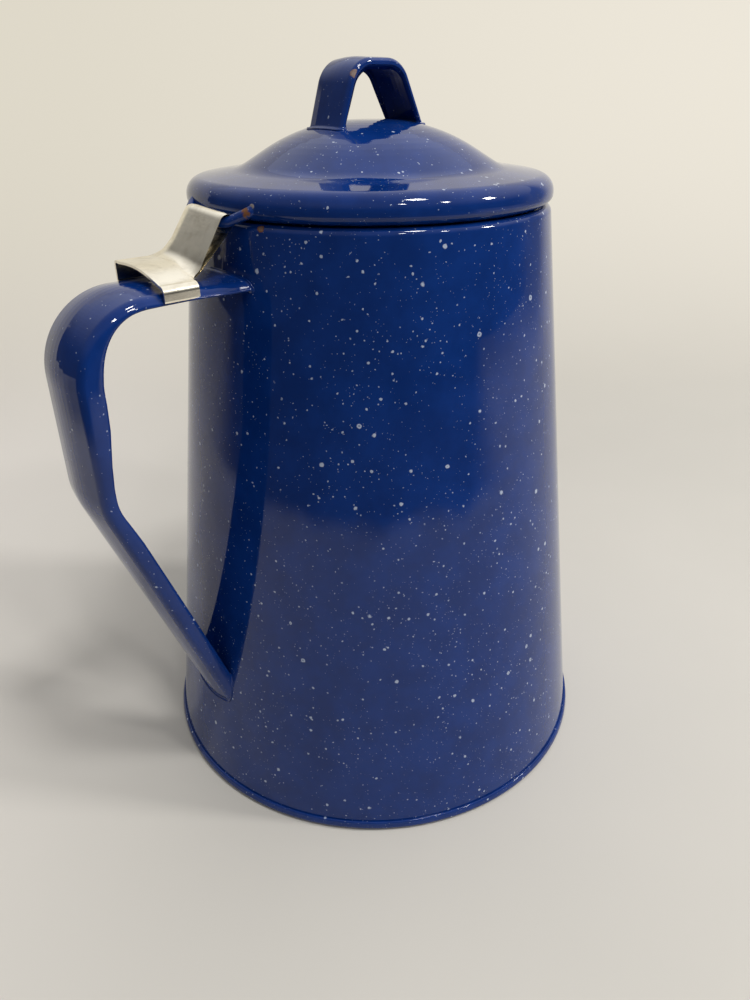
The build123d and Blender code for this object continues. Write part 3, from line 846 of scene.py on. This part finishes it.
def spout_skins():
    """Outer and inner skin of the spout, in rows from its foot to its top."""
    outer, inner = [], []
    for share in np.linspace(0, 1, SPOUT_ROWS):
        toe = min(1, share / SPOUT_TOE)
        grown = max(0.0, (share - SPOUT_GROWTH) / (1 - SPOUT_GROWTH))
        half_width, reach, nose = (
            start + by_toe * toe + by_growth * grown
            for start, by_toe, by_growth in (SPOUT_HALF_WIDTH, SPOUT_REACH, SPOUT_NOSE)
        )
        height = spout_foot + (SPOUT_TIP - spout_foot) * share
        wall = wall_radius(height)
        foot = sqrt(wall**2 - half_width**2)
        tip = wall + reach
        slope = hypot(tip - foot, half_width) / half_width
        back = foot - SPOUT_SINK
        back_width = half_width * (tip - back) / max(0.1, tip - foot)
        for skin, inset in ((outer, 0.0), (inner, ENAMEL_SHEET)):
            edge, point = back_width - inset, tip - inset * slope
            ends_and_nose = [(back, edge), (point, 0), (back, -edge)]
            line = np.array(rounded(ends_and_nose, [max(0.3, nose - inset)], turn=6.0))
            run = run_lengths(line)
            even = np.linspace(0, run[-1], SPOUT_COLUMNS)
            x, y = np.interp(even, run, line[:, 0]), np.interp(even, run, line[:, 1])
            skin.append(np.stack([x, y, np.full(SPOUT_COLUMNS, height)], axis=1))
    return np.array(outer), np.array(inner)


outer, inner = spout_skins()
wall_at_tip = wall_radius(SPOUT_TIP)
for skin in (outer, inner):
    run = np.clip((skin[-1, :, 0] - wall_at_tip) / (SPOUT_END - wall_at_tip), 0, 1)
    lip = SPOUT_TIP - SPOUT_SLANT + SPOUT_SLANT * run
    squeeze = (lip - spout_foot) / (SPOUT_TIP - spout_foot)
    skin[:, :, 2] = spout_foot + (skin[:, :, 2] - spout_foot) * squeeze
middle, arm = (outer[-1] + inner[-1]) / 2, (outer[-1] - inner[-1]) / 2
lip_round = [
    middle + arm * cos(a) + np.array([0, 0, half]) * sin(a) for a in pi * np.arange(1, 6) / 6
]
rows = [*outer, *lip_round, *inner[::-1]]
spout_faces = grid_faces(len(rows), SPOUT_COLUMNS, True, False, caps=False)
piece("pouring_spout", np.concatenate(rows), spout_faces, POT_ENAMEL, "pot", "spout")

# ---------------------------------------------------------------- pump and basket

PUMP_FLANGE = 5.0
INLETS, INLET_RADIUS = 4, 4.2
BASKET_LIP = 1.8
BASKET_HOLE_RADIUS, BASKET_HOLE_PITCH = 1.1, 5.5
TUBE_EASE = 0.3  # clearance of the spreader about the pump's tube
SPREADER_COLLAR = 3.0
SPREADER_DISH = 2.5
DISH_FLOOR_RADIUS, DISH_RADIUS = 26.0, 29.0
SPREADER_HOLE_RADIUS, SPREADER_HOLE_PITCH = 0.9, 5.0

spun = SPUN_SHEET / 2


def turned_piece(name, outline, segments, body, node, sharp=None):
    """A piece of aluminium turned about the axis."""
    mesh = lathe_mesh(outline, segments)
    return piece(name, *mesh, ALUMINIUM, body, node, slot="spun_aluminium", sharp=sharp)


def spun_piece(name, points, bends, segments, body, node):
    """A piece spun from aluminium sheet, from its middle line and bends."""
    outline = thick(rounded(points, bends), SPUN_SHEET)
    return turned_piece(name, outline, segments, body, node)


def pipe(name, radius, wall, foot, top, body, node):
    """A straight aluminium tube with round edges."""
    heights = foot + wall / 2, foot + 1, top - 1, top - wall / 2
    outline = thick([(radius - wall / 2, z) for z in heights], wall)
    turned_piece(name, outline, 96, body, node)


collar = TUBE_RADIUS + SEAM_FIT + spun
bell_points = [
    (collar, PUMP_COLLAR_TOP),
    (collar, TUBE_FOOT - SPUN_SHEET),
    (PUMP_FOOT_RADIUS - PUMP_FLANGE, FLOOR_TOP + spun),
    (PUMP_FOOT_RADIUS - spun, FLOOR_TOP + spun),
]
bell = spun_piece("pump_bell", bell_points, [4.0, 4.0], 128, "pump", "pump_foot")
inlets = circle(PUMP_FOOT_RADIUS, INLETS, first=pi / INLETS)
pierce(bell, inlets, INLET_RADIUS, start=FLOOR_TOP - 1, length=3)
pipe("rising_tube", TUBE_RADIUS, TUBE_WALL, TUBE_FOOT, TUBE_TOP, "pump", "pump_tube")

# The ring's outline starts and ends low on its inner side, so all four corners can be bent
ring_inner = TUBE_RADIUS + SEAM_FIT
ring_points = [
    (ring_inner, STOP_RING_LOW + 0.4),
    (ring_inner, STOP_RING_TOP),
    (STOP_RING_RADIUS, STOP_RING_TOP),
    (STOP_RING_RADIUS, STOP_RING_LOW),
    (ring_inner, STOP_RING_LOW),
    (ring_inner, STOP_RING_LOW + 0.3),
]
ring_outline = rounded(ring_points, [0.2, 0.4, 0.7, 0.2])
turned_piece("basket_stop", ring_outline, 96, "pump", "stop_ring", sharp=50)

basket_radius = BASKET_RIM - BASKET_LIP
basket_points = [
    (SLEEVE_RADIUS + SEAM_FIT + spun, BASKET_FLOOR + spun),
    (basket_radius - spun, BASKET_FLOOR + spun),
    (basket_radius - spun, BASKET_TOP - spun),
    (BASKET_RIM - spun, BASKET_TOP - spun),
]
bowl = spun_piece("coffee_basket", basket_points, [4.0, 0.6], 160, "basket", "basket_bowl")
bowl_holes = hole_rings(STOP_RING_RADIUS + 2.75, basket_radius - 6.2, BASKET_HOLE_PITCH)
pierce(bowl, bowl_holes, BASKET_HOLE_RADIUS, start=BASKET_FLOOR - 1, length=3)
pipe(
    "basket_tube", SLEEVE_RADIUS, SLEEVE_WALL, BASKET_FLOOR, SLEEVE_TOP, "basket", "basket_sleeve"
)

plate = BASKET_TOP + spun
sleeve = TUBE_RADIUS + TUBE_EASE + spun
cover_points = [
    (sleeve, plate + SPREADER_COLLAR),
    (sleeve, plate - SPREADER_DISH),
    (DISH_FLOOR_RADIUS, plate - SPREADER_DISH),
    (DISH_RADIUS, plate),
    (SPREADER_RADIUS - spun, plate),
    (SPREADER_RADIUS - spun, SPREADER_LOW + spun),
]
cover_bends = [1.5, 1.5, 1.5, 0.6]
cover = spun_piece("spreader_plate", cover_points, cover_bends, 160, "spreader", "spreader")
cover_holes = hole_rings(SLEEVE_RADIUS + 5.0, DISH_FLOOR_RADIUS - 2.5, SPREADER_HOLE_PITCH)
pierce(cover, cover_holes, SPREADER_HOLE_RADIUS, start=plate - 5, length=5)

# ---------------------------------------------------------------- camera, stage and light

# The photograph's camera, in metres and degrees, before it is turned about the pot
CAMERA_PLACE = (0, -0.228, 0.1984)
CAMERA_TURN, CAMERA_PITCH, CAMERA_YAW, CAMERA_ROLL = -41, 28.35, 0.18, -0.43
LENS = 27.405

# Lamps: bearing to the camera's right and height in degrees, power in watts, size in metres
LAMP_REACH = 1.15  # metres from a lamp to the pot
SPARKS = (22, 45, 0.8, 0.07), (52, 42, 1.6, 0.08), (84, 36, 4.4, 0.12)
SPARK_COLOUR = (1, 0.97, 0.93)
KEY = (45, 64, 3.8, 0.15)
KEY_COLOUR = (1, 0.98, 0.95)

PAPER = (0.59, 0.575, 0.535, 1), (0.64, 0.62, 0.58, 1)
# Painted light on the paper's left
PAPER_PAINTED_LIGHT_LEFT = (0.78, 0.75, 0.71, 1)
# Painted shade far out in front of the pot
PAPER_PAINTED_DIM = (0.10, 0.10, 0.105, 1)
# Colours of the painted glow far behind the pot, and its painted dim far to the right
WALL = (0.735, 0.69, 0.585, 1), (0.85, 0.80, 0.70, 1)
WALL_PAINTED_DIM = (0.22, 0.23, 0.26, 1)

turn = Matrix.Rotation(radians(CAMERA_TURN), 4, "Z")
pitch, yaw, lean = radians(CAMERA_PITCH), radians(CAMERA_YAW), radians(CAMERA_ROLL)
forward = Vector((sin(yaw) * cos(pitch), cos(yaw) * cos(pitch), -sin(pitch)))
right = Vector((cos(yaw), -sin(yaw), 0))
above = right.cross(forward)
right, above = right * cos(lean) + above * sin(lean), above * cos(lean) - right * sin(lean)
facing = Matrix((right, above, -forward)).transposed().to_4x4()
lens = bpy.data.cameras.new("camera")
lens.lens = LENS
camera = bpy.data.objects.new("camera", lens)
camera.matrix_world = turn @ Matrix.Translation(CAMERA_PLACE) @ facing
bpy.context.scene.collection.objects.link(camera)
bpy.context.scene.camera = camera


def paper(name):
    """Pale warm paper with painted light: dim far in front, brighter on its left, glowing far
    behind.
    """
    shade = Shader(name, Roughness=0.95, Specular_IOR_Level=0.1)
    place = shade.node("NewGeometry", {}).outputs["Position"]
    behind = shade.measure("DOT_PRODUCT", place, turn @ Vector((0, 1, 0)))
    across = shade.measure("DOT_PRODUCT", place, turn @ Vector((1, 0, 0)))
    radius = shade.measure("DISTANCE", shade.vector("MULTIPLY", place, (1, 1, 0)), (0, 0, 0))

    # Painted shade: dim outside a ragged circle in front of the pot, less so on its right, as if
    # the light fell off there; and painted light: brighter on its left
    ragged = shade.math("MULTIPLY_ADD", shade.noise(place, 5, 1), 0.12, radius)
    lit = shade.math("MULTIPLY_ADD", shade.math("MAXIMUM", across, 0.0), 0.5, behind)
    painted_dim = shade.math("MULTIPLY", shade.ramp(ragged, 0.42, 0.50), shade.ramp(lit, 0.16, -0.10))
    pale = shade.mix(shade.noise(place, 9, 3), *PAPER)
    # Painted light: the paper's left is painted brighter
    pale = shade.mix(shade.ramp(across, -0.02, -0.25), pale, PAPER_PAINTED_LIGHT_LEFT)
    shade.finish(Base_Color=shade.mix(painted_dim, pale, PAPER_PAINTED_DIM))

    # Far behind the pot it glows, in what the camera, enamel and metal see of it only: painted
    # light, darker on the left, brighter to the right and dim again far to the right
    seen = shade.node("LightPath", {}).outputs
    rays = shade.math("MAXIMUM", seen["Is Camera Ray"], seen["Is Glossy Ray"])
    rays = shade.math("MAXIMUM", rays, seen["Is Transmission Ray"])
    far = shade.math("MULTIPLY", shade.ramp(behind, 0.16, 0.70), rays)
    wall = shade.mix(shade.ramp(across, -0.45, 0.45), *WALL)
    wall = shade.mix(shade.ramp(across, 0.50, 0.95), wall, WALL_PAINTED_DIM)
    glow = shade.node("Emission", {"Color": wall, "Strength": 1.0}).outputs[0]
    both = shade.node("MixShader", {0: far, 1: shade.surface.outputs[0], 2: glow}).outputs[0]
    shade.set(shade.tree.nodes["Material Output"].inputs["Surface"], both)
    return shade.material


def backdrop():
    """A sheet of paper that lies on the table and rises in a wide bend behind the pot. Its
    line has the way back and the height, in metres."""
    line = rounded([(-1.6, 0), (0.62, 0), (0.80, 0.75)], [0.35], turn=4.0)
    widths = np.linspace(-1.6, 1.6, 9)
    points = [turn @ Vector((across, *place)) / MM for place in line for across in widths]
    faces = grid_faces(len(line), len(widths), close_columns=False, caps=False)
    made = piece("backdrop", points, faces, paper("paper"), None)


def lamp(name, bearing, height, power, size, colour):
    """A square lamp that faces the pot from a bearing to the camera's right and a height."""
    light = bpy.data.lights.new(name, "AREA")
    light.energy, light.color = power, colour
    light.shape, light.size = "SQUARE", size
    made = bpy.data.objects.new(name, light)
    bearing, height = radians(bearing), radians(height)
    level = LAMP_REACH * cos(height)
    target = Vector((0, 0, 0.1))
    place = Vector((level * sin(bearing), -level * cos(bearing), LAMP_REACH * sin(height)))
    made.location = target + turn @ place
    made.rotation_euler = (target - made.location).to_track_quat("-Z", "Y").to_euler()
    bpy.context.scene.collection.objects.link(made)


def sky():
    """Soft light from above, a pale wall behind the pot and a dim room in front of it."""
    world = bpy.data.worlds.new("studio")
    bpy.context.scene.world = world
    world.use_nodes = True
    graph = Graph(world.node_tree)
    way = graph.node("TexCoord", {}).outputs["Generated"]

    def towards(direction, start, end, start_value, end_value):
        """Smooth change as the way turns towards a direction, by the cosine between them."""
        share = graph.measure("DOT_PRODUCT", way, direction)
        return graph.ramp(share, start, end, start_value, end_value)

    around = towards(turn @ Vector((0.15, 0.99, 0)), 0.25, 0.9, 0.085, 0.6)
    overhead = towards(turn @ Vector((0.4, 0.9, 0)), -0.5, 0.6, 0.37, 1.05)
    background = world.node_tree.nodes["Background"].inputs
    graph.set(background["Strength"], towards((0, 0, 1), 0.2, 0.7, around, overhead))
    graph.set(background["Color"], (1.0, 0.985, 0.96, 1))


backdrop()
for spark in SPARKS:
    lamp("spark", *spark, SPARK_COLOUR)
lamp("key", *KEY, KEY_COLOUR)
sky()

bpy.context.scene.view_settings.view_transform = "Standard"
